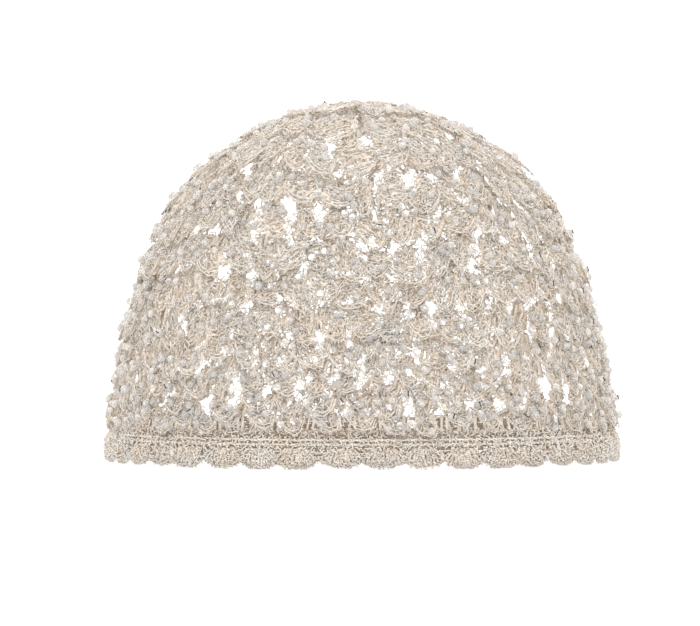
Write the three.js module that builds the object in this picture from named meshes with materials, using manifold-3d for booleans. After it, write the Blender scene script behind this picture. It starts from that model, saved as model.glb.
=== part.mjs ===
// A child's crochet skullcap, standing on its scalloped rim.
// Millimetres, +Z up. The origin is the centre of the rim, level with the tips of the scallops.
//
// The cap is one shell of revolution in four pieces, from the top down:
//   crown_ring    the start ring and its first rounds
//   crown_net     rounds of shell fans, lapped like shingles, with gaps between the fans
//   rim_band      the close rounds above the edging, with two raised cords
//   scallop_edge  the edging of close shells, on whose scallops the cap stands

import * as THREE from 'three';
import { mergeVertices } from 'three/addons/utils/BufferGeometryUtils.js';
import Module from 'manifold-3d';

const manifold = await Module();
manifold.setup();

// ---- Driving dimensions ----

const seam = 0.3;             // clear gap between neighbouring pieces

const cap = {
  radius: 83.9,               // outside of the cap where the crown meets the rim
  taper: 0.157,               // how much the sides lean in, per millimetre of height
  height: 108.4,              // from that line to the top of the crown
  squareness: 3.73,           // 2 is an ellipse; more makes the sides straighter
  base: 10.3,                 // height of that line over the tips of the scallops
  flare: 1.5,                 // how far the rim spreads out below that line
  flareTo: 7.0,               // height at which it has spread, and runs straight down
};

const wall = {
  inside: -3.0,               // inner face, measured outwards from the cap's outline
  furrow: -1.1,               // outer face just under the edge of the round above
  ridge: 0.3,                 // outer face at a round's own lower edge
};

const net = {
  bottom: 12.5,               // height of its lower end
  topRadius: 10.4,            // radius of its upper end
  edge: 0.9,                  // length of the step from a ridge to the furrow under it
  straight: 6,                // rounds in the straighter sides, whose inner face needs few points
  columns: 30,
  drift: 0.25,                // turn of each round's fans back from the round under it, in fans
  turn: -0.2,                 // where the first fan of the lowest round starts, in fans
};

// The rounds of the net from the rim up: how deep each is along the wall, before all of them are
// fitted to its length, how many fans it has, and how many of its gaps are cut through. Gaps are
// cut in every second round, at every second fan.
const rounds = [
  { depth: 5.6, fans: 48, gaps: 0 },
  { depth: 6.5, fans: 48, gaps: 24 },
  { depth: 7.6, fans: 48, gaps: 0 },
  { depth: 9.0, fans: 48, gaps: 24 },
  { depth: 10.8, fans: 48, gaps: 0 },
  { depth: 11.2, fans: 46, gaps: 23 },
  { depth: 11.6, fans: 44, gaps: 0 },
  { depth: 12.8, fans: 42, gaps: 21 },
  { depth: 14.4, fans: 38, gaps: 0 },
  { depth: 17.4, fans: 32, gaps: 16 },
  { depth: 16.8, fans: 24, gaps: 0 },
  { depth: 16.0, fans: 14, gaps: 7 },
];

// A gap has five sides: it narrows upwards between two fans of the round above, and closes to a
// point below between two of its own. The fans of the last round end in the ring, so their gaps
// lie lower.
const gap = {
  width: 7.2,                 // at most
  spread: 1.15,               // its width in a shallow round, as a share of its height
  share: 0.64,                // its height, as a share of the depth of its round
  shoulder: 0.45,             // where it is widest, as a share of its height from the bottom
  roof: 0.3,                  // width of its top, as a share of its width
  depth: 12,                  // length of the plug that cuts it
  centre: 1.0,                // place of its middle, as a share of the round from its lower edge
  lastCentre: 0.56,           // the same in the last round
};

const ring = {
  hole: 1.6,                  // radius of the hole that the start ring leaves
  columns: 20,
  // Its two rounds of stitches: where each swell and furrow lies between the edge and the hole.
  stitches: [
    { across: 0.0, out: -1.1 },
    { across: 0.35, out: 0.0 },
    { across: 0.55, out: -1.1 },
    { across: 0.8, out: 0.0 },
    { across: 1.0, out: -1.1 },
  ],
};

const band = {
  bottom: 7.3,
  top: 11.7,
  inside: -2.7,
  face: -0.7,                 // its plain outer face
  cordHeights: [8.2, 9.7],
  cordHalf: 0.7,              // half the height of one cord
  cordOut: 0.4,               // how far a cord stands out of the cap's outline
  cordTurns: [-90, -30, 30, 90],  // the corners of its half-round section, in degrees
  columns: 40,
};

const edging = {
  scallops: 40,
  top: 7.0,
  valley: 3.0,                // height of the notch between two scallops
  shoulder: 0.9,              // height of a scallop's sides
  thickness: 2.4,
  outAtTip: 0.5,              // how far the middle of a scallop stands out of the cap's outline
  outAtNotch: -0.5,
  outAtTop: -0.4,
};

// ---- The outline of the cap, as a curve measured along the wall ----

// One point of the outline: u runs from 0 at the base line to 1 at the top of the crown.
function outlinePoint(u) {
  const h = cap.height * (1 - (1 - u) ** 2);
  const round = Math.sqrt(Math.max(0, 1 - (h / cap.height) ** cap.squareness));
  return new THREE.Vector2((cap.radius - cap.taper * h) * round, cap.base + h);
}

class CapOutline extends THREE.Curve {
  getPoint(u, target = new THREE.Vector2()) {
    return target.copy(outlinePoint(u));
  }
}

const outline = new CapOutline();
outline.arcLengthDivisions = 400;
const outlineLength = outline.getLength();

// A point that lies `out` millimetres outside the outline, `along` millimetres up it.
function wallPoint(along, out) {
  const share = THREE.MathUtils.clamp(along / outlineLength, 0, 1);
  const point = outline.getPointAt(share);
  const up = outline.getTangentAt(THREE.MathUtils.clamp(share, 0.001, 0.999));
  return new THREE.Vector2(point.x + up.y * out, point.y - up.x * out);
}

// How far up the wall the outline first meets a test, such as a height or a radius.
function alongWhere(test) {
  const steps = 4000;
  for (let i = 0; i <= steps; i += 1) {
    const along = (outlineLength * i) / steps;
    if (test(wallPoint(along, 0))) return along;
  }
  return outlineLength;
}

// ---- Solids ----

// A closed body from a profile of radii and heights that is turned about Z. The profile closes
// on itself and runs with the material on its left.
function turned(profile, columns) {
  const geometry = new THREE.LatheGeometry([...profile, profile[0]], columns);
  geometry.rotateX(Math.PI / 2);
  return sealed(geometry);
}

function sealed(geometry) {
  geometry.deleteAttribute('normal');
  geometry.deleteAttribute('uv');
  return mergeVertices(geometry, 1e-4);
}

function toManifold(geometry) {
  const shape = sealed(geometry);
  return new manifold.Manifold(new manifold.Mesh({
    numProp: 3,
    vertProperties: new Float32Array(shape.attributes.position.array),
    triVerts: new Uint32Array(shape.index.array),
  }));
}

function fromManifold(solid) {
  const mesh = solid.getMesh();
  const geometry = new THREE.BufferGeometry();
  geometry.setAttribute('position', new THREE.BufferAttribute(mesh.vertProperties, 3));
  geometry.setIndex(new THREE.BufferAttribute(mesh.triVerts, 1));
  return geometry;
}

// ---- Crown net ----

const netStart = alongWhere((point) => point.y >= net.bottom);
const netEnd = alongWhere((point) => point.x <= net.topRadius);

// How far up the wall each round starts and ends.
const depths = rounds.map((round) => round.depth);
const depthScale = (netEnd - netStart) / depths.reduce((sum, depth) => sum + depth);
const levels = [netStart];
for (const depth of depths) {
  levels.push(levels.at(-1) + depth * depthScale);
}

function netShell() {
  const profile = [];
  for (let i = 0; i < rounds.length; i += 1) {
    profile.push(wallPoint(levels[i], wall.ridge));
    profile.push(wallPoint(levels[i + 1] - net.edge, wall.furrow));
  }
  profile.push(wallPoint(netEnd, wall.furrow));
  for (let i = rounds.length; i >= 0; i -= i > net.straight ? 1 : 2) {
    profile.push(wallPoint(levels[i], wall.inside));
  }
  return turned(profile, net.columns);
}

function gapPlug(height) {
  const half = Math.min(gap.width, height * gap.spread) / 2;
  const low = -height / 2;
  const high = height / 2;
  const widest = low + height * gap.shoulder;
  const shape = new THREE.Shape();
  shape.moveTo(0, low);
  shape.lineTo(half, widest);
  shape.lineTo(half * gap.roof, high);
  shape.lineTo(-half * gap.roof, high);
  shape.lineTo(-half, widest);
  shape.closePath();
  const plug = new THREE.ExtrudeGeometry(shape, { depth: gap.depth, bevelEnabled: false });
  return plug.translate(0, 0, -gap.depth / 2);
}

// Stands a plug in the wall: its own Y runs up the wall and its own Z out of it.
function placeInWall(plug, along, angle) {
  const middle = (wall.inside + wall.ridge) / 2;
  const here = wallPoint(along, middle);
  const above = wallPoint(along + 1, middle);
  const outside = wallPoint(along, middle + 1);
  const turn = new THREE.Matrix4().makeRotationZ(angle);
  const up = new THREE.Vector3(above.x - here.x, 0, above.y - here.y).normalize();
  const out = new THREE.Vector3(outside.x - here.x, 0, outside.y - here.y).normalize();
  const side = new THREE.Vector3().crossVectors(up, out);
  const stand = new THREE.Matrix4().makeBasis(side, up, out);
  stand.setPosition(here.x, 0, here.y);
  return plug.applyMatrix4(stand).applyMatrix4(turn);
}

function netGaps() {
  const plugs = [];
  rounds.forEach((round, i) => {
    const depth = levels[i + 1] - levels[i];
    const centre = i === rounds.length - 1 ? gap.lastCentre : gap.centre;
    const along = levels[i] + depth * centre;
    const firstGap = (i % 4 === 1 ? 0.5 : 1.5) + net.turn - i * net.drift;
    for (let k = 0; k < round.gaps; k += 1) {
      const fan = (k * round.fans) / round.gaps + firstGap;
      const angle = (2 * Math.PI * fan) / round.fans - Math.PI / 2;
      const plug = gapPlug(depth * gap.share);
      plugs.push(toManifold(placeInWall(plug, along, angle)));
    }
  });
  return plugs;
}

function crownNet() {
  let shell = toManifold(netShell());
  for (const plug of netGaps()) {
    shell = shell.subtract(plug);
  }
  return fromManifold(shell);
}

// ---- Crown ring ----

function crownRing() {
  const rimAlong = netEnd + seam;
  const holeAlong = alongWhere((point) => point.x <= ring.hole);
  const span = holeAlong - rimAlong;
  const profile = ring.stitches.map(({ across, out }) => wallPoint(rimAlong + span * across, out));
  profile.push(wallPoint(holeAlong, wall.inside));
  profile.push(wallPoint(rimAlong, wall.inside));
  return turned(profile, ring.columns);
}

// ---- Rim band ----

// The outline below the crown's base line spreads a little and then runs straight down.
function rimRadiusAt(height) {
  if (height > cap.base) return wallPoint(alongWhere((p) => p.y >= height), 0).x;
  const share = (cap.base - height) / (cap.base - cap.flareTo);
  return cap.radius + cap.flare * Math.min(share, 1);
}

function rimBand() {
  const profile = [new THREE.Vector2(rimRadiusAt(band.bottom) + band.face, band.bottom)];
  const reach = band.cordOut - band.face;
  for (const middle of band.cordHeights) {
    for (const degrees of band.cordTurns) {
      const turn = THREE.MathUtils.degToRad(degrees);
      const out = band.face + Math.cos(turn) * reach;
      const height = middle + Math.sin(turn) * band.cordHalf;
      profile.push(new THREE.Vector2(rimRadiusAt(middle) + out, height));
    }
  }
  const topRadius = rimRadiusAt(band.top);
  profile.push(new THREE.Vector2(topRadius + band.face, band.top));
  profile.push(new THREE.Vector2(topRadius + band.inside, band.top));
  profile.push(new THREE.Vector2(rimRadiusAt(band.bottom) + band.inside, band.bottom));
  return turned(profile, band.columns);
}

// ---- Scalloped edging ----

// The steps across one scallop: turn is the share of its width, low its lower edge, and swell
// runs from 0 in the notch to 1 in its middle. Its tip is flat, to stand on.
const scallopSteps = [
  { turn: 0.0, low: edging.valley, swell: 0.0 },
  { turn: 0.16, low: edging.shoulder, swell: 0.65 },
  { turn: 0.34, low: 0, swell: 1.0 },
  { turn: 0.66, low: 0, swell: 1.0 },
  { turn: 0.84, low: edging.shoulder, swell: 0.65 },
];

function scallopEdge() {
  const positions = [];
  const radius = rimRadiusAt(0);
  for (let i = 0; i < edging.scallops; i += 1) {
    for (const step of scallopSteps) {
      const angle = ((i + step.turn) * 2 * Math.PI) / edging.scallops - Math.PI / 2;
      const out = THREE.MathUtils.lerp(edging.outAtNotch, edging.outAtTip, step.swell);
      const outer = radius + out;
      const topOuter = radius + edging.outAtTop;
      const corners = [
        [outer, step.low],
        [topOuter, edging.top],
        [topOuter - edging.thickness, edging.top],
        [outer - edging.thickness, step.low],
      ];
      for (const [away, height] of corners) {
        positions.push(away * Math.cos(angle), away * Math.sin(angle), height);
      }
    }
  }
  const columns = edging.scallops * scallopSteps.length;
  const index = [];
  for (let i = 0; i < columns; i += 1) {
    const here = i * 4;
    const next = ((i + 1) % columns) * 4;
    for (let side = 0; side < 4; side += 1) {
      const other = (side + 1) % 4;
      index.push(here + side, next + side, next + other);
      index.push(here + side, next + other, here + other);
    }
  }
  const geometry = new THREE.BufferGeometry();
  geometry.setAttribute('position', new THREE.Float32BufferAttribute(positions, 3));
  geometry.setIndex(index);
  return geometry;
}

// ---- Assembly ----

const yarnColour = 0xd2c6b8;

function piece(name, geometry) {
  const material = new THREE.MeshStandardMaterial({
    color: yarnColour,
    roughness: 0.9,
    metalness: 0,
  });
  const mesh = new THREE.Mesh(geometry, material);
  mesh.name = name;
  return mesh;
}

const skullcap = new THREE.Group();
skullcap.add(
  piece('crown_ring', crownRing()),
  piece('crown_net', crownNet()),
  piece('rim_band', rimBand()),
  piece('scallop_edge', scallopEdge()),
);

export default skullcap;
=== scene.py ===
import math

import bpy
import numpy as np
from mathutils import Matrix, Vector


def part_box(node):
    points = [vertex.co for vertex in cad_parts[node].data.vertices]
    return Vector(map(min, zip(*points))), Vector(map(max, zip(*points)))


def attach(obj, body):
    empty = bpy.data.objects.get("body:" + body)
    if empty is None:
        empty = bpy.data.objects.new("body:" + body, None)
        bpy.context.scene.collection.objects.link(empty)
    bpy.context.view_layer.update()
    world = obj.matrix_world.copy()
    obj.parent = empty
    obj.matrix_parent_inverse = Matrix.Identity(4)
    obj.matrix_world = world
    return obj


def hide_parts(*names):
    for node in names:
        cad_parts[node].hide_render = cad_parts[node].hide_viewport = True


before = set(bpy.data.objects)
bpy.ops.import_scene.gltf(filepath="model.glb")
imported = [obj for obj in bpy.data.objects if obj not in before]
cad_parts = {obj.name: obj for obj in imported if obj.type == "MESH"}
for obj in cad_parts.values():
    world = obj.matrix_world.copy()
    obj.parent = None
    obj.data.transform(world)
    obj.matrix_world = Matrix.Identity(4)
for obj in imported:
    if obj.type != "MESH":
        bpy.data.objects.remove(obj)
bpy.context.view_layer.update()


# ---------------------------------------------------------------------------
# Crown ring: the loop of yarn that the cap is begun on, and its first round of
# close posts. Fine two-ply cotton in a natural greige, hooked round a 3 mm hole.
# ---------------------------------------------------------------------------

MM = 0.001

# The cap's wall, in millimetres. The outline leans in and closes over at the top; below its
# base line it spreads a little and then runs straight down.
ring_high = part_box("crown_ring")[1]
CAP_RADIUS = 83.9        # at the base line
BASE = 10.3              # height of the base line
FLARE = 1.5              # how much wider the wall is at its foot
FLARE_TO = 7.0           # height up to which it is that wide
CROWN_HEIGHT = ring_high.z / MM - BASE + 0.1
TAPER = 0.157            # how far the wall leans in for each millimetre of height
SQUARENESS = 3.73        # 2 would close the top as an ellipse does, and more is squarer
SLOPE_REACH = 0.6        # the wall's slope at a point is taken this far up and down from it

rise = np.linspace(0, 1, 900)
over_base = CROWN_HEIGHT * (1 - (1 - rise) ** 2)
closing = np.sqrt(np.clip(1 - (over_base / CROWN_HEIGHT) ** SQUARENESS, 0, 1))
wall_radius = np.append([CAP_RADIUS + FLARE] * 2, (CAP_RADIUS - TAPER * over_base) * closing)
wall_height = np.append([0.0, FLARE_TO], BASE + over_base)
wall_steps = np.hypot(np.diff(wall_radius), np.diff(wall_height))
wall_along = np.append(0.0, np.cumsum(wall_steps))


def on_wall(angle, along, out):
    """Points of the wall, in metres: angle round the cap in radians, 0 at the front, then
    millimetres up the wall from the scallops' tips, and millimetres out of the outline."""
    angle, along, out = np.broadcast_arrays(*(np.asarray(v, float) for v in (angle, along, out)))
    radius = np.interp(along, wall_along, wall_radius)
    height = np.interp(along, wall_along, wall_height)
    ahead, behind = along + SLOPE_REACH, along - SLOPE_REACH
    lean = np.interp(ahead, wall_along, wall_radius) - np.interp(behind, wall_along, wall_radius)
    climb = np.interp(ahead, wall_along, wall_height) - np.interp(behind, wall_along, wall_height)
    length = np.maximum(np.hypot(lean, climb), 1e-6)
    radius = radius + out * climb / length
    height = height - out * lean / length
    return np.stack([radius * np.sin(angle), -radius * np.cos(angle), height], -1) * MM


def radius_at(along):
    return float(np.interp(along, wall_along, wall_radius))


def along_at_radius(radius):
    return float(np.interp(radius, wall_radius[::-1], wall_along[::-1]))


def along_at_height(height):
    return np.interp(height, wall_height, wall_along)


def activate(piece):
    bpy.ops.object.select_all(action="DESELECT")
    piece.select_set(True)
    bpy.context.view_layer.objects.active = piece


# A strand's section has three corners, rounded by smooth shading: thousands of them are needed.
YARN = 0.68              # thickness of a whole ply of the yarn
CORNER_OUT = 0.58        # how far the corners stand from its middle, as a share of that

section_data = bpy.data.curves.new("ply_section", "CURVE")
section_corners = section_data.splines.new("POLY")
section_corners.points.add(2)
for corner, turn in zip(section_corners.points, (90, 210, 330)):
    turn = math.radians(turn)
    corner_out = CORNER_OUT * YARN * MM
    corner.co = (corner_out * math.cos(turn), corner_out * math.sin(turn), 0, 1)
section_corners.use_cyclic_u = True
ply_section = bpy.data.objects.new("ply_section", section_data)
bpy.context.scene.collection.objects.link(ply_section)


def crochet(name, strands):
    """One mesh of yarn from its strands. Each strand is its points in metres, and its thickness
    as a share of a ply's."""
    curve = bpy.data.curves.new(name, "CURVE")
    curve.dimensions = "3D"
    curve.bevel_mode = "OBJECT"
    curve.bevel_object = ply_section
    curve.use_fill_caps = True
    for points, share in strands:
        spline = curve.splines.new("POLY")
        spline.points.add(len(points) - 1)
        spline.points.foreach_set("co", np.c_[points, np.ones(len(points))].ravel())
        spline.points.foreach_set("radius", np.full(len(points), share, float).ravel())
    piece = bpy.data.objects.new(name, curve)
    bpy.context.scene.collection.objects.link(piece)
    activate(piece)
    bpy.ops.object.convert(target="MESH")
    bpy.ops.object.mode_set(mode="EDIT")
    bpy.ops.mesh.select_all(action="SELECT")
    bpy.ops.mesh.remove_doubles(threshold=1e-6)
    bpy.ops.mesh.normals_make_consistent(inside=False)
    bpy.ops.object.mode_set(mode="OBJECT")
    bpy.ops.object.shade_smooth()
    return piece


BOWED_OUT = np.array([-0.3, 0.25, -0.3])     # how far out a short thread's ends and middle lie


def bowed(rng, place, lean, half, bow):
    """A short thread that crosses a post: it leans, bows, and dives in at its ends."""
    run = np.array([-half, 0.0, half])
    bend = np.array([0.0, bow, 0.0])
    line = np.stack([
        place[0] + run * math.sin(lean) + bend * math.cos(lean),
        place[1] + run * math.cos(lean) - bend * math.sin(lean),
        place[2] + BOWED_OUT,
    ], -1)
    return line + rng.normal(0, 0.1, (3, 3))


def ramp(nodes, start, start_colour, end, end_colour):
    """A colour ramp from one colour to another."""
    colours = nodes.new("ShaderNodeValToRGB")
    for stop, place, colour in zip(colours.color_ramp.elements, (start, end), (start_colour, end_colour)):
        stop.position = place
        stop.color = (*colour, 1)
    return colours


def noise(nodes, links, place, scale, detail):
    """Cloudy noise over the whole piece, with about scale of its clouds to a metre."""
    clouds = nodes.new("ShaderNodeTexNoise")
    clouds.inputs["Scale"].default_value = scale
    clouds.inputs["Detail"].default_value = detail
    links.new(place.outputs["Object"], clouds.inputs["Vector"])
    return clouds


NATURAL = (0.985, 0.926, 0.862)      # the cotton's colours, linear
SHADED = (0.89, 0.80, 0.69)
DEEP = (0.76, 0.665, 0.56)
BROWNER = (1.0, 0.968, 0.935)        # what its dye patches do to them
GREYER = (0.99, 0.997, 1.0)
PATCHES = 95.0                       # about how many patches there are to a metre
GRAIN = 260.0                        # and how many small flecks
PLIES = 2


def yarn_material(name, light, dark, turns, groove_shade=0.16, grain=GRAIN):
    """Matt cotton: two plies twisted together, with a soft sheen, faint uneven dye, and painted shade in
    the grooves between the plies.
    """
    material = bpy.data.materials.new(name)
    material.use_nodes = True
    nodes, links = material.node_tree.nodes, material.node_tree.links
    shader = nodes["Principled BSDF"]
    shader.inputs["Roughness"].default_value = 0.82
    shader.inputs["Sheen Weight"].default_value = 0.12
    shader.inputs["Sheen Roughness"].default_value = 0.5
    shader.inputs["Specular IOR Level"].default_value = 0.3

    # the plies wind round the strand: a wave along and round its own UV map
    uv = nodes.new("ShaderNodeUVMap")
    uv.uv_map = "UVMap"
    split = nodes.new("ShaderNodeSeparateXYZ")
    links.new(uv.outputs["UV"], split.inputs["Vector"])
    run = nodes.new("ShaderNodeMath")
    run.operation = "MULTIPLY_ADD"
    run.inputs[1].default_value = turns
    links.new(split.outputs["X"], run.inputs[0])
    links.new(split.outputs["Y"], run.inputs[2])
    angle = nodes.new("ShaderNodeMath")
    angle.operation = "MULTIPLY"
    angle.inputs[1].default_value = PLIES * math.tau
    links.new(run.outputs[0], angle.inputs[0])
    ply = nodes.new("ShaderNodeMath")
    ply.operation = "SINE"
    links.new(angle.outputs[0], ply.inputs[0])

    # small flecks of dye, and the plies' stripes, which paint shade into the grooves between the plies,
    # run from the dark colour to the light one
    place = nodes.new("ShaderNodeTexCoord")
    dye = noise(nodes, links, place, grain, 3.0)
    depth = nodes.new("ShaderNodeMath")
    depth.operation = "MULTIPLY_ADD"
    depth.inputs[1].default_value = groove_shade
    links.new(ply.outputs[0], depth.inputs[0])
    links.new(dye.outputs["Fac"], depth.inputs[2])
    shades = ramp(nodes, 0.28, dark, 0.72, light)
    links.new(depth.outputs[0], shades.inputs["Fac"])

    # the cotton is browner in some patches and greyer in others
    patches = noise(nodes, links, place, PATCHES, 2.0)
    tint = ramp(nodes, 0.4, BROWNER, 0.6, GREYER)
    links.new(patches.outputs["Fac"], tint.inputs["Fac"])
    dyed = nodes.new("ShaderNodeMix")
    dyed.data_type = "RGBA"
    dyed.blend_type = "MULTIPLY"
    dyed.inputs["Factor"].default_value = 1.0
    links.new(shades.outputs["Color"], dyed.inputs[6])
    links.new(tint.outputs["Color"], dyed.inputs[7])
    links.new(dyed.outputs[2], shader.inputs["Base Color"])

    bump = nodes.new("ShaderNodeBump")
    bump.inputs["Strength"].default_value = 0.6
    bump.inputs["Distance"].default_value = 0.12 * MM
    links.new(ply.outputs[0], bump.inputs["Height"])
    links.new(bump.outputs["Normal"], shader.inputs["Normal"])
    return material


def finish(piece, material, node):
    """Gives a piece its yarn, hangs it on the root, and hides the node that it stands for."""
    piece.data.materials.clear()
    piece.data.materials.append(material)
    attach(piece, "root")
    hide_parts(node)


RING_HOLE = 1.6          # radius of the hole
RING_EDGE = 10.4         # radius of the rosette
RING_POSTS = 32
RING_THREADS = 360       # short threads over the posts
RING_LOOPS = (           # the turns of the first loop: how far down the wall, and how far out
    (0.0, -1.6),
    (0.7, -1.0),
    (1.3, -1.9),
)
RING_CHAINS = (          # rounds of chain stitch: how far up from the edge, and how far out
    (3.6, -0.3),
    (0.4, -0.2),
)
CHAIN_STITCHES = 16      # in one of them
PLY_OUT = 0.28           # how far a post's two plies wind from its middle
POST_TURNS = 1.5         # and how many turns they make
ANY_WAY = 6.28           # any direction, in radians

ring_along = along_at_radius(RING_HOLE + 0.6)
ring_edge_along = along_at_radius(RING_EDGE)
rng = np.random.default_rng(11)
ring_strands = []
for down, out in RING_LOOPS:
    angles = np.linspace(0, math.tau, 25)
    wobble = rng.normal(0, 0.08, len(angles))
    ring_strands.append((on_wall(angles, ring_along - down + wobble, out + wobble), 1.0))
for k in range(RING_POSTS):
    angle = math.tau * (k + rng.normal(0, 0.12)) / RING_POSTS
    steps = np.linspace(0, 1, 9)
    along = ring_along + (ring_edge_along - 1.2 - ring_along) * steps
    # every second post dips in again before its end
    out = -1.5 + 0.96 * np.sin(steps * math.pi * (1.6 if k % 2 else 1.0))
    turn = math.tau * POST_TURNS * steps + rng.uniform(0, ANY_WAY)
    for ply in (0, math.pi):
        sway = PLY_OUT * np.cos(turn + ply) / np.maximum(3.0, RING_HOLE + (ring_along - along))
        ring_strands.append((on_wall(angle + sway, along, out + PLY_OUT * np.sin(turn + ply)), 1.0))
for up, out in RING_CHAINS:
    index = np.arange(4 * CHAIN_STITCHES + 1)
    angles = np.linspace(0, math.tau, len(index))
    along = ring_edge_along + up
    for ply in (0, math.pi):
        wave = index * math.pi / 2 + ply
        ring_strands.append((on_wall(angles, along + 0.45 * np.cos(wave), out + 0.3 * np.sin(wave)), 1.0))
for k in range(RING_THREADS):
    angle = rng.uniform(0, math.tau)
    along = along_at_radius(math.sqrt(rng.uniform(RING_HOLE ** 2 + 2, RING_EDGE ** 2 + 14)))
    place = (0.0, 0.0, rng.normal(0.1, 0.25))
    line = bowed(rng, place, rng.uniform(0, math.pi), rng.uniform(0.7, 1.2), rng.normal(0, 0.6))
    turned = angle + line[:, 0] / max(radius_at(along), 2.0)
    ring_strands.append((on_wall(turned, along + line[:, 1], line[:, 2]), rng.uniform(0.6, 0.85)))
crown_rosette = crochet("crown_rosette", ring_strands)
ring_yarn = yarn_material("ring_yarn", SHADED, DEEP, turns=9.0)
finish(crown_rosette, ring_yarn, "crown_ring")


# ---------------------------------------------------------------------------
# Net rounds: rounds of shell fans, worked from the crown down. Each fan is a spread of tall
# posts hooked into one place. It laps the round under it, and leaves a gap beside the next fan.
# ---------------------------------------------------------------------------

ROUNDS = [
    # depth along the wall in mm, before all are fitted to it, how many fans, and how much room
    # they leave between them; from the rim up
    (5.6, 48, 3.4),
    (6.5, 48, 3.8),
    (7.6, 48, 1.2),
    (9.0, 48, -0.2),
    (10.8, 48, 0.5),
    (11.2, 46, -0.9),
    (11.6, 44, -0.3),
    (12.8, 42, 0.3),
    (14.4, 38, 1.0),
    (17.4, 32, 0.5),
    (16.8, 24, 0.9),
    (16.0, 14, 0.8),
]
NET_BOTTOM = 12.5        # height of the net's lower end
LAP = 1.8                # how much longer a fan is than its round is deep
DRIFT = 0.25             # how far each round's fans turn back from the round under it, in fans
TURN = -0.2              # where the first fan of the lowest round starts, in fans
SIDE_TURN = 0.25         # how far every second round turns on at the sides, in fans
MOST_ROOM = 1.8          # the most room that a fan leaves
DEEP_FROM = 11.0         # a fan this deep is made as a deep one
# a fan's posts, where its thick bodies lie from -1 to 1 across it, and how many square mm of it
# one of the short thick threads between them fills
SHALLOW_FAN = (6, (-0.8, 0.0, 0.8), 13.5)
DEEP_FAN = (7, (-0.55, 0.55), 8.5)
SCALLOP_RISE = 0.58      # how far a fan's lower edge rises to its ends, as a share of its depth
HIGHEST_RISE = 6.0       # and at most this far
ROOT_WIDTH = 1.3         # half the width of a fan at its root
ROOT_OUT = -1.2          # how far in a fan starts, behind the edge of the round above
LIP_OUT = 0.35           # how far out its lower edge stands
SLANT = 1.3              # how far the stitches slant across the wall's thickness at the cap's quarters
POST_BODY = 2.05         # thickness of a post's body, as a share of a ply's
BODY_IN = 1.1            # and how far in it lies
STITCH = 1.16            # length of post that one crossing thread covers
CURLED_SHARE = 0.4       # how many of these threads curl back
SUNK_SHARE = 0.15        # how many lie on the inner side of the post
SUNK = 1.8               # and how far in
EDGE_PLACES = (0.97, 0.84)     # where strands follow the lower edge, as a share of the depth
EDGE_LOOPS_ON_FAN = 5
BEAD_CHANCE = 0.85       # that a bead is at each of a fan's three places for one
CURL = 1.25              # half the arc of a curled thread, in radians
CURLED_OUT = np.array([-0.4, 0.1, 0.3, 0.1, -0.4])     # how far out its points lie
FADE_LOW = 14.0          # the net's wander fades over this much at the band
FADE_HIGH = 10.0         # and over this much at the ring
BODY_SHADE_PALE = (0.94, 0.86, 0.765)      # the posts' bodies: painted shade, darker and browner than the threads over them, for the shade among their wraps
BODY_SHADE_DARK = (0.83, 0.735, 0.63)

net_start = along_at_height(NET_BOTTOM)
net_end = ring_edge_along
depths = np.array([depth for depth, fans, room in ROUNDS])
levels = net_start + np.append(0, np.cumsum(depths)) * (net_end - net_start) / depths.sum()

beads = []               # (angle, along, out, lean, round) of each bead, gathered fan by fan


def eased(along):
    """The wander of the net dies out at the band below it and at the ring above it."""
    return np.clip((along - net_start) / FADE_LOW, 0, 1) * np.clip((net_end - along) / FADE_HIGH, 0, 1)


def wandered(angle, along):
    """Moves points of the net a little, as hand-worked rounds wander. The front and the back
    wander alike, so that gaps which face each other still let light through."""
    across = 1.6 * np.sin(4 * angle) * np.cos(0.045 * along + 1.0)
    across += 1.3 * np.sin(8 * angle) * np.cos(0.11 * along)
    across += 0.9 * np.sin(14 * angle) * np.cos(0.21 * along + 2.0)
    up = 2.0 * np.cos(4 * angle) * np.cos(0.04 * along - 0.4)
    up += 1.9 * np.sin(9 * angle) * np.cos(0.09 * along + 3.0)
    up += 1.3 * np.sin(19 * angle) * np.cos(0.19 * along)
    radius = np.maximum(np.interp(along, wall_along, wall_radius), 6.0)
    return angle + across * eased(along) / radius, along + up * eased(along)


def slanted(angle, across, out, along):
    """The angle round the cap of a point of a stitch, mm across and out from its root. A length
    across is worth fewer radians where the cap is wide."""
    radius = np.maximum(np.interp(along, wall_along, wall_radius), 6.0)
    return angle + (across - SLANT * out * math.sin(2 * angle)) / radius


def hung(lines, angle, root_along):
    """Lays a stitch's lines on the wall: they are in mm across, down and out from its root."""
    flat = np.concatenate([line for line, share in lines])
    along = root_along - flat[:, 1]
    turned, raised = wandered(slanted(angle, flat[:, 0], flat[:, 2], along), along)
    points = on_wall(turned, raised, flat[:, 2])
    cuts = np.cumsum([len(line) for line, share in lines])[:-1]
    return list(zip(np.split(points, cuts), [share for line, share in lines]))


def curled(rng, place, facing, radius):
    """A thread that comes out of a post, turns back in a small arc, and dives in again."""
    turn = facing + np.linspace(-CURL, CURL, 5)
    line = np.stack([
        place[0] + radius * (np.sin(turn) - 0.7 * math.sin(facing)),
        place[1] + radius * (np.cos(turn) - 0.7 * math.cos(facing)),
        place[2] + CURLED_OUT,
    ], -1)
    return line + rng.normal(0, 0.08, (5, 3))


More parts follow.
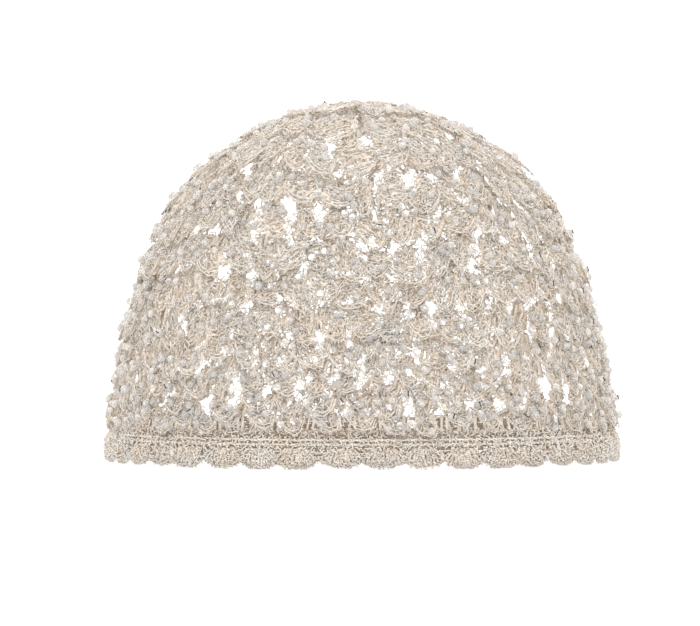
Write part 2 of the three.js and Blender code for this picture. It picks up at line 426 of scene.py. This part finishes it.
def fan_bodies(rng, on_fan, body_places, fillers):
    """The thick bodies of a fan's posts, and short thick threads that fill in between them."""
    bodies = []
    for t in body_places:
        middle = np.stack(on_fan(t, np.linspace(0, 0.9, 4)), -1)
        middle[:, 2] -= BODY_IN
        middle[1:, :2] += rng.normal(0, 0.4, (3, 2))
        bodies.append((middle, POST_BODY * rng.uniform(0.9, 1.1)))
    for k in range(fillers):
        t = rng.uniform(-0.9, 0.9)
        place = np.array(on_fan(t, rng.uniform(0.12, 0.92)))
        place[2] -= 0.65
        half = min(1.0 + place[1] * 0.25, 2.0) * rng.uniform(0.7, 1.1)
        bodies.append((bowed(rng, place, rng.uniform(0, math.pi), half, rng.normal(0, 0.5)), 1.5))
    return bodies


def fan_threads(rng, on_fan, posts):
    """The fine threads that cross and curl over each post of a fan."""
    lines = []
    for k in range(posts):
        t = (2 * k / (posts - 1) - 1) + rng.normal(0, 0.06)
        top, bottom = (np.array(on_fan(t, place)) for place in (0.0, 1.0))
        run = bottom - top
        lean = math.atan2(run[0], run[1])
        stitches = max(3, round(math.hypot(run[0], run[1]) / STITCH))
        for stitch in range(stitches):
            place = np.array(on_fan(t + rng.normal(0, 0.1), (stitch + rng.uniform(0.2, 1.0)) / stitches))
            place[:2] += rng.normal(0, 0.3, 2)
            place[0] -= 0.3 * t
            crossing = lean + rng.choice([-1, 1]) * rng.uniform(0.35, 1.57)
            if rng.random() < SUNK_SHARE:
                place[2] -= SUNK
            if rng.random() < CURLED_SHARE:
                line = curled(rng, place, rng.uniform(0, ANY_WAY), rng.uniform(0.75, 1.3))
            else:
                line = bowed(rng, place, crossing, rng.uniform(0.7, 1.25), rng.normal(0, 0.6))
            lines.append((line, rng.uniform(0.48, 0.66)))
    return lines


def fan_beads(rng, on_fan):
    """The places of a fan's beads, up to two on each side, as (across, down, out, lean)."""
    places = []
    for side in (-1, 1, rng.choice([-1, 1])):
        if rng.random() < BEAD_CHANCE:
            x, y, z = on_fan(side * rng.uniform(0.4, 1.0), rng.uniform(0.25, 0.95))
            places.append((x, y, z + rng.uniform(0.0, 0.7), rng.normal(0, 0.6)))
    return places


def fan_edges(rng, on_fan, steepness):
    """The strands and small loops of a fan's lower edge, and the loops that hook it on at its
    root. Steepness is how steeply the edge's two ends rise."""
    lines = []
    for place in EDGE_PLACES:
        t = np.linspace(-1, 1, 5)
        line = np.stack(on_fan(t, place), -1)
        lines.append((line + rng.normal(0, 0.2, line.shape), 0.48))
    for k in range(EDGE_LOOPS_ON_FAN):
        t = rng.uniform(-0.95, 0.95)
        place = on_fan(t, rng.uniform(0.86, 1.03))
        lean = math.pi / 2 + math.atan(t * steepness)
        lines.append((bowed(rng, place, lean, rng.uniform(0.8, 1.15), rng.uniform(-1.0, -0.5)), 0.64))
    for side in (-1, 1):
        place = (side * 1.0, 0.3, ROOT_OUT + 0.6)
        lines.append((bowed(rng, place, rng.normal(0, 0.4), 1.3, side * 0.6), 0.8))
    return lines


def fan(rng, width, depth, room):
    """The bodies of a fan's posts and the threads over them, as (across, down, out) lines in mm
    from its root, each with its thickness as a share of a ply's, and the places of its beads."""
    # a fan that leaves more room reaches less far across, and stays narrow for longer
    reach = width * (0.51 - 0.06 * room + rng.normal(0, 0.03))
    narrowing = max(0.5, 0.76 + 0.5 * room)
    drop = depth * rng.uniform(0.92, 1.08)
    rise = min(SCALLOP_RISE, HIGHEST_RISE / depth) * rng.uniform(0.75, 1.15)
    lip = LIP_OUT + rng.normal(0, 0.5) + (1.3 if rng.random() < 0.2 else 0)
    tilt = rng.normal(0, 0.1)

    def on_fan(t, place):
        """A point of the fan: t is -1 to 1 across it, and place is 0 at its root to 1 at its edge."""
        spread = place ** (narrowing - 0.18 * abs(t))
        across = t * (ROOT_WIDTH + (reach - ROOT_WIDTH) * spread)
        down = drop * (1 - rise * t * t) * place
        out = ROOT_OUT + (lip - ROOT_OUT) * place ** 0.8
        out = out + 0.5 * (1 - t * t) * np.sin(place * math.pi * 0.8)
        return across + DRIFT * width * down / depth, down, out * np.ones_like(across)

    posts, body_places, filled_by_each = DEEP_FAN if depth >= DEEP_FROM else SHALLOW_FAN
    bodies = fan_bodies(rng, on_fan, body_places, round(width * depth / filled_by_each))
    lines = fan_threads(rng, on_fan, posts)
    places = fan_beads(rng, on_fan)
    lines += fan_edges(rng, on_fan, rise * 2 * drop / reach)
    turn = np.array([[math.cos(tilt), math.sin(tilt)], [-math.sin(tilt), math.cos(tilt)]])
    for line, share in bodies + lines:
        line[:, :2] = line[:, :2] @ turn
    places = [(*(np.array([x, y]) @ turn), z, lean) for x, y, z, lean in places]
    return bodies, lines, places


net_yarn = yarn_material("net_yarn", NATURAL, SHADED, turns=9.0)
# the posts' bodies get the darker yarn of painted shade
body_shade_yarn = yarn_material("body_shade_yarn", BODY_SHADE_PALE, BODY_SHADE_DARK, turns=5.0, groove_shade=0.2, grain=900.0)
post_bodies = []
rng = np.random.default_rng(12)
for i, (_, fans, round_room) in enumerate(ROUNDS):
    low, high = levels[i], levels[i + 1]
    depth = high - low
    strands = []
    for k in range(fans):
        angle = math.tau * (k - DRIFT * i + TURN + rng.normal(0, 0.04)) / fans
        # at the sides every second round turns on a little, so that gaps also meet there
        sideways = min(1.0, max(0.0, (abs(math.sin(angle)) - 0.5) / 0.3))
        angle += math.tau * (SIDE_TURN if i % 2 == 0 else 0.0) * sideways / fans
        width = math.tau * radius_at(low + depth * 0.3) / fans
        root_along = high + 0.5 + rng.normal(0, 0.8)
        # the net is more open at the sides, and most on the right
        side = math.sin(angle)
        room = 0.4 * round_room + (1.15 if side > 0 else 0.5) * side * side + rng.normal(-0.25, 0.2)
        bodies, lines, places = fan(rng, width, depth + LAP, min(room, MOST_ROOM))
        strands += hung(lines, angle, root_along)
        post_bodies += hung(bodies, angle, root_along)
        for x, y, z, lean in places:
            along = root_along - y
            turned, raised = wandered(slanted(angle, x, z, along), along)
            beads.append((turned, raised, z, lean, i))
    net_round = crochet(f"net_round_{len(ROUNDS) - i:02d}", strands)
    finish(net_round, net_yarn, "crown_net")
net_bodies = crochet("net_post_bodies", post_bodies)
finish(net_bodies, body_shade_yarn, "crown_net")


# ---------------------------------------------------------------------------
# Beads: small round beads of clear glass, threaded on the posts of the fans, mostly two or
# three to a fan. Here and there a bead's bore shows through it as a dark line: a near-black
# rod of painted shade, just under the glass's surface.
# ---------------------------------------------------------------------------

BEAD_RADIUS = 1.55
BEAD_LENGTH = 2.7
BORE_RADIUS = 0.22
BORE_LENGTH = 0.65 * BEAD_LENGTH
BORE_OUT = 0.92          # how far out of its bead's middle a bore shows, as a share of the radius
BORE_SHARE = 0.05        # how many beads show theirs
LOW_ROUNDS = 5           # the beads of so many rounds are one mesh, and the rest another
GLASS_MIDDLE = (0.982, 0.96, 0.935)
GLASS_EDGE_SHADE = (0.96, 0.935, 0.905)
BORE_SHADE = (0.02, 0.02, 0.022)

glass = bpy.data.materials.new("clear_glass")
glass.use_nodes = True
glass_nodes, glass_links = glass.node_tree.nodes, glass.node_tree.links
glass_shader = glass_nodes["Principled BSDF"]
glass_shader.inputs["Roughness"].default_value = 0.12
glass_shader.inputs["IOR"].default_value = 1.28
glass_shader.inputs["Transmission Weight"].default_value = 0.74
glass_shader.inputs["Coat Weight"].default_value = 0.8
glass_shader.inputs["Coat Roughness"].default_value = 0.04
# painted shade: the glass is a little greyer where it turns away from the view, for the grey rim of a
# clear bead
facing = glass_nodes.new("ShaderNodeLayerWeight")
facing.inputs["Blend"].default_value = 0.5
edge_shade_ramp = ramp(glass_nodes, 0.3, GLASS_MIDDLE, 0.95, GLASS_EDGE_SHADE)
glass_links.new(facing.outputs["Facing"], edge_shade_ramp.inputs["Fac"])
glass_links.new(edge_shade_ramp.outputs["Color"], glass_shader.inputs["Base Color"])

# painted shade: the bore's rod is near-black, for the shade inside the bore
bore_shade = bpy.data.materials.new("bore_shade")
bore_shade.use_nodes = True
bore_shade.node_tree.nodes["Principled BSDF"].inputs["Base Color"].default_value = (*BORE_SHADE, 1)
bore_shade.node_tree.nodes["Principled BSDF"].inputs["Roughness"].default_value = 0.5


def edited(piece, size):
    """Scales a fresh primitive in edit mode, and takes its points and faces."""
    bpy.ops.object.mode_set(mode="EDIT")
    bpy.ops.mesh.select_all(action="SELECT")
    bpy.ops.transform.resize(value=size)
    bpy.ops.object.mode_set(mode="OBJECT")
    points = np.array([v.co for v in piece.data.vertices])
    faces = [list(p.vertices) for p in piece.data.polygons]
    bpy.data.objects.remove(piece)
    return points, faces


def strung(name, places, shape, material, smooth):
    """Copies of one shape at (angle, along, out, lean), as one mesh."""
    shape_points, shape_faces = shape
    points = []
    faces = []
    for copy, (angle, along, out, lean) in enumerate(places):
        here, above, outside = on_wall([angle] * 3, [along, along + 0.5, along], [out, out, out + 0.5])
        up = (above - here) / np.linalg.norm(above - here)
        outward = (outside - here) / np.linalg.norm(outside - here)
        axis = up * math.cos(lean) - np.cross(up, outward) * math.sin(lean)
        points.append(shape_points @ np.stack([np.cross(axis, outward), outward, axis]) + here)
        faces += [[corner + copy * len(shape_points) for corner in face] for face in shape_faces]
    mesh = bpy.data.meshes.new(name)
    mesh.from_pydata(np.concatenate(points).tolist(), [], faces)
    piece = bpy.data.objects.new(name, mesh)
    bpy.context.scene.collection.objects.link(piece)
    activate(piece)
    bpy.ops.object.mode_set(mode="EDIT")
    bpy.ops.mesh.select_all(action="SELECT")
    bpy.ops.mesh.normals_make_consistent(inside=False)
    bpy.ops.object.mode_set(mode="OBJECT")
    if smooth:
        bpy.ops.object.shade_smooth()
    mesh.materials.append(material)
    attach(piece, "root")


bpy.ops.object.select_all(action="DESELECT")
bpy.ops.mesh.primitive_uv_sphere_add(segments=7, ring_count=5, radius=BEAD_RADIUS * MM)
bead_shape = edited(bpy.context.object, (1, 1, BEAD_LENGTH / 2 / BEAD_RADIUS))
bpy.ops.mesh.primitive_cylinder_add(vertices=5, radius=BORE_RADIUS * MM, depth=BORE_LENGTH * MM)
bore_shape = edited(bpy.context.object, (1, 1, 1))

strung("beads_low", [bead[:4] for bead in beads if bead[4] < LOW_ROUNDS], bead_shape, glass, True)
strung("beads_high", [bead[:4] for bead in beads if bead[4] >= LOW_ROUNDS], bead_shape, glass, True)
rng = np.random.default_rng(17)
bores = []
for angle, along, out, lean, _ in beads:
    if rng.random() < BORE_SHARE:
        bores.append((angle, along, out + BEAD_RADIUS * BORE_OUT, lean + rng.normal(0, 0.3)))
strung("bead_bores", bores, bore_shape, bore_shade, False)


# ---------------------------------------------------------------------------
# Rim band: close short posts that draw the net in, above two chain cords that stand out.
# The same yarn, worked tighter; the dark brown strands behind it are painted shade for the shadows
# between its stitches.
# ---------------------------------------------------------------------------

# painted shade: the strands behind the rim's stitches are dark brown, for the shadow between them
BACKING_SHADE_PALE = (0.6, 0.51, 0.43)
BACKING_SHADE_DARK = (0.4, 0.33, 0.27)
band_yarn = yarn_material("band_yarn", NATURAL, SHADED, turns=3.0, groove_shade=0.35)
backing_shade_yarn = yarn_material("backing_shade_yarn", BACKING_SHADE_PALE, BACKING_SHADE_DARK, turns=3.0)
CORD_HEIGHTS = (8.2, 9.7)
CORD_OUT = -0.5
CORD_STRETCHES = 44      # a cord is so many strands, end to end
STRETCH_WAVES = 4        # chain stitches in each of them
CORD_WAVES = CORD_STRETCHES * STRETCH_WAVES
BAND_POSTS = 240
BAND_FOOT = 8.0          # height of the posts' lower ends
POST_STEPS = np.array([0.0, 2.4, 4.9])     # how far up from there the posts' points are
POST_OUT = -1.8
BAND_HOOPS = np.arange(7.6, 12.0, 0.66)    # heights of the strands that back the band
BAND_LOOPS = np.arange(8.4, 12.8, 0.62)    # and of its rounds of small loops
HOOP_POINTS = 150
RIM_LOOP = 0.62          # half the length of one loop's thread
RIM_LOOPS = 340          # in one round of them


def hoops(rng, heights, out):
    """Plain strands right round the rim, close together, that back its stitches."""
    strands = []
    for height in heights:
        angles = np.linspace(0, math.tau, HOOP_POINTS + 1)
        sway = rng.normal(0, 0.12, HOOP_POINTS + 1)
        strands.append((on_wall(angles, along_at_height(height) + sway, out + rng.normal(0, 0.1)), 1.0))
    return strands


def small_loops(rng, heights, out, lowest=None):
    """Rounds of the short threads of close loops, at all angles, over the rim's backing. None
    lies lower than the lowest place for its angle, where that is given."""
    strands = []
    for row in heights:
        for k in range(RIM_LOOPS):
            angle = math.tau * (k + rng.normal(0, 0.35)) / RIM_LOOPS
            along = along_at_height(row + rng.normal(0, 0.25))
            if lowest and along < lowest(angle):
                continue
            place = (0.0, 0.0, out + rng.normal(0, 0.15))
            lean = rng.uniform(0, math.pi)
            line = bowed(rng, place, lean, RIM_LOOP * rng.uniform(0.8, 1.4), rng.uniform(-0.6, 0.6))
            turned = angle + line[:, 0] / CAP_RADIUS
            strands.append((on_wall(turned, along + line[:, 1], line[:, 2]), 0.62))
    return strands


rng = np.random.default_rng(23)
band_backing = crochet("rim_band_backing", hoops(rng, BAND_HOOPS, -1.0))
finish(band_backing, backing_shade_yarn, "rim_band")
strands = []
for height in CORD_HEIGHTS:
    for stretch in range(CORD_STRETCHES):
        index = stretch * STRETCH_WAVES + np.linspace(0, STRETCH_WAVES, 13)
        angles = math.tau * index / CORD_WAVES
        for ply in (0, math.pi):
            wave = index * math.tau + ply
            along = along_at_height(height) + 0.3 * np.cos(wave) + rng.normal(0, 0.12, 13)
            strands.append((on_wall(angles, along, CORD_OUT + 0.25 * np.sin(wave)), 0.7))
for k in range(BAND_POSTS):
    angle = math.tau * (k + rng.normal(0, 0.25)) / BAND_POSTS
    along = along_at_height(BAND_FOOT) + POST_STEPS
    slant = rng.normal(0.2, 1.0) / CAP_RADIUS
    turned = angle + slant * np.linspace(0, 1, 3)
    strands.append((on_wall(turned, along, POST_OUT + rng.normal(0, 0.15, 3)), 1.6))
strands += small_loops(rng, BAND_LOOPS, -0.3)
rim_band = crochet("rim_band_stitches", strands)
finish(rim_band, band_yarn, "rim_band")


# ---------------------------------------------------------------------------
# Scalloped edging: rounds of small close loops and, under them, shells whose lower edges are
# the scallops, finished with a few plain strands. The cap stands on their tips.
# ---------------------------------------------------------------------------

EDGING_LIGHT = (0.99, 0.93, 0.85)
EDGING_DARK = (0.97, 0.885, 0.79)
# painted shade: the fringe's yarn is a greyer, darker copy of the edging's, against the bright glow of
# the floor under it
FRINGE_LIGHT = (0.97, 0.925, 0.875)
edging_yarn = yarn_material("edging_yarn", EDGING_LIGHT, EDGING_DARK, turns=3.0, groove_shade=0.35)
fringe_yarn = yarn_material("fringe_yarn", FRINGE_LIGHT, SHADED, turns=9.0)
SCALLOPS = 40
SHELL_POSTS = 11
SHELL_TOP = 7.0          # height of the posts' upper ends
SHELL_SPREAD = np.array([0.5, 0.75, 1.0])      # how far they have spread at top, middle and foot
SHELL_OUT = np.array([-0.9, -0.7, -0.5])       # and how far out they are there
NOTCH = 2.6              # height of the notches between the scallops
SCALLOP_CURVE = 2.4      # 2 would make them parabolas, and more is squarer
LIFT = 0.5               # height of a scallop's lowest strand over the table, about
LEAST_LIFT = 0.35
LOOPS_CLEAR = 1.2        # how far over that strand the small loops stay
LOWEST_LOOP = 0.33       # least height of the edge's loops
LOWEST_PLAIN = 0.4       # and of its thicker, plain strands
EDGE_LOOPS = 14          # in one row along a scallop's lower edge
LOOP_ROWS = ((0.1, -0.3), (0.5, -0.1), (0.9, 0.0))         # height over the edge, and how far out
PLAIN_ROWS = ((0.2, -0.7), (0.9, -0.8), (1.6, -1.0))
EDGING_HOOPS = np.arange(3.2, 7.6, 0.62)       # heights of the strands that back the edging
EDGING_LOOPS = np.arange(1.8, 8.4, 0.6)        # and of its rounds of small loops
RIM_RADIUS = CAP_RADIUS + FLARE
rng = np.random.default_rng(31)
# the edging's backing strands are painted shade too
edge_backing = crochet("scallop_backing", hoops(rng, EDGING_HOOPS, -1.2))
finish(edge_backing, backing_shade_yarn, "scallop_edge")
strands = []
fringe = []
half_pitch = math.tau * RIM_RADIUS / SCALLOPS * 0.5


def lower_edge(t, lift):
    """Height of a scallop's lower edge: t runs from -1 to 1 across it."""
    return lift + (NOTCH - lift) * np.abs(t) ** SCALLOP_CURVE


def above_edge(angle):
    """The lowest place for a loop: over the plain strands of the scallop there."""
    t = (angle * SCALLOPS / math.tau) % 1 * 2 - 1
    return lower_edge(t, LIFT) + LOOPS_CLEAR


for s in range(SCALLOPS):
    angle = math.tau * (s + 0.5 + rng.normal(0, 0.06)) / SCALLOPS
    lift = max(LEAST_LIFT, LIFT + rng.normal(0, 0.3))
    # the posts of the shell
    for k in range(SHELL_POSTS):
        t = 2 * k / (SHELL_POSTS - 1) - 1
        foot = lower_edge(t, lift) + 0.6
        across = t * SHELL_SPREAD * half_pitch + rng.normal(0, 0.15, 3)
        along = np.array([SHELL_TOP, (SHELL_TOP + foot) / 2, foot])
        strands.append((on_wall(angle + across / RIM_RADIUS, along, SHELL_OUT), 1.4))
    # its lower edge: rows of tiny loops, backed by plain strands
    for above, out in LOOP_ROWS:
        for k in range(EDGE_LOOPS):
            t = (k + rng.uniform(0, 1)) / EDGE_LOOPS * 2 - 1
            place = (t * half_pitch, lower_edge(t, lift) + above + rng.normal(0, 0.12), out)
            line = bowed(rng, place, rng.uniform(0.3, 2.8), rng.uniform(0.5, 0.8), rng.normal(0, 0.4))
            line[:, 1] = np.maximum(line[:, 1], LOWEST_LOOP)
            fringe.append((on_wall(angle + line[:, 0] / RIM_RADIUS, line[:, 1], line[:, 2]), 0.66))
    t = np.linspace(-1.03, 1.03, 7)
    for above, out in PLAIN_ROWS:
        along = np.maximum(lower_edge(t, lift) + above + rng.normal(0, 0.1, 7), LOWEST_PLAIN)
        turned = angle + t * half_pitch / RIM_RADIUS
        fringe.append((on_wall(turned, along, out + rng.normal(0, 0.08, 7)), 1.0))
strands += small_loops(rng, EDGING_LOOPS, 0.05, above_edge)
scallops = crochet("scallop_stitches", strands)
finish(scallops, edging_yarn, "scallop_edge")
scallop_fringe = crochet("scallop_fringe", fringe)
finish(scallop_fringe, fringe_yarn, "scallop_edge")


# ---------------------------------------------------------------------------
# Studio: a pale floor, soft white light from all sides, a large soft key from the upper left
# and a fill from the right. The camera stands nearly level with the middle of the cap.
# ---------------------------------------------------------------------------

bpy.data.objects.remove(ply_section)
floor_material = bpy.data.materials.new("studio_floor")
floor_material.use_nodes = True
floor_shader = floor_material.node_tree.nodes["Principled BSDF"]
floor_shader.inputs["Base Color"].default_value = (0.35, 0.35, 0.35, 1)
floor_shader.inputs["Roughness"].default_value = 1.0
floor_shader.inputs["Emission Color"].default_value = (1, 1, 1, 1)
floor_shader.inputs["Emission Strength"].default_value = 0.75
bpy.ops.object.select_all(action="DESELECT")
bpy.ops.mesh.primitive_plane_add(size=24.0, location=(0, 0, 0))
floor = bpy.context.object
floor.name = "studio_floor"
floor.data.materials.append(floor_material)

world = bpy.data.worlds.new("studio")
bpy.context.scene.world = world
world.use_nodes = True
world.node_tree.nodes["Background"].inputs["Color"].default_value = (1, 1, 1, 1)
world.node_tree.nodes["Background"].inputs["Strength"].default_value = 1.47

LAMPS_AIM = Vector((0, 0, 0.06))
for name, place, size, power in (
    ("key", (-1.0, -1.3, 2.0), 0.9, 6.5),
    ("fill", (1.6, -1.2, 1.0), 1.4, 2.0),
):
    lamp_data = bpy.data.lights.new(name, "AREA")
    lamp_data.size = size
    lamp_data.energy = power
    lamp = bpy.data.objects.new(name, lamp_data)
    bpy.context.scene.collection.objects.link(lamp)
    lamp.location = place
    lamp.rotation_euler = (LAMPS_AIM - Vector(place)).to_track_quat("-Z", "Y").to_euler()

# a weak lamp inside, for the light that soft yarn lets through
inside_data = bpy.data.lights.new("inside", "POINT")
inside_data.energy = 0.08
inside_data.shadow_soft_size = 0.03
inside = bpy.data.objects.new("inside", inside_data)
bpy.context.scene.collection.objects.link(inside)
inside.location = (0, 0, 0.05)

VIEW_DISTANCE = 1.5
FRAME_WIDTH = 0.2333     # width that the camera takes in at the cap
CAMERA_HEIGHT = 0.060
ASIDE = -0.004           # how far left of the cap's middle the camera and its aim are
AIM_HEIGHT = 0.049
camera_data = bpy.data.cameras.new("camera")
camera = bpy.data.objects.new("camera", camera_data)
bpy.context.scene.collection.objects.link(camera)
camera_data.lens = camera_data.sensor_width * VIEW_DISTANCE / FRAME_WIDTH
camera.location = (ASIDE, -VIEW_DISTANCE, CAMERA_HEIGHT)
aim = Vector((ASIDE, 0, AIM_HEIGHT))
camera.rotation_euler = (aim - camera.location).to_track_quat("-Z", "Y").to_euler()
bpy.context.scene.camera = camera
bpy.context.scene.view_settings.view_transform = "Standard"
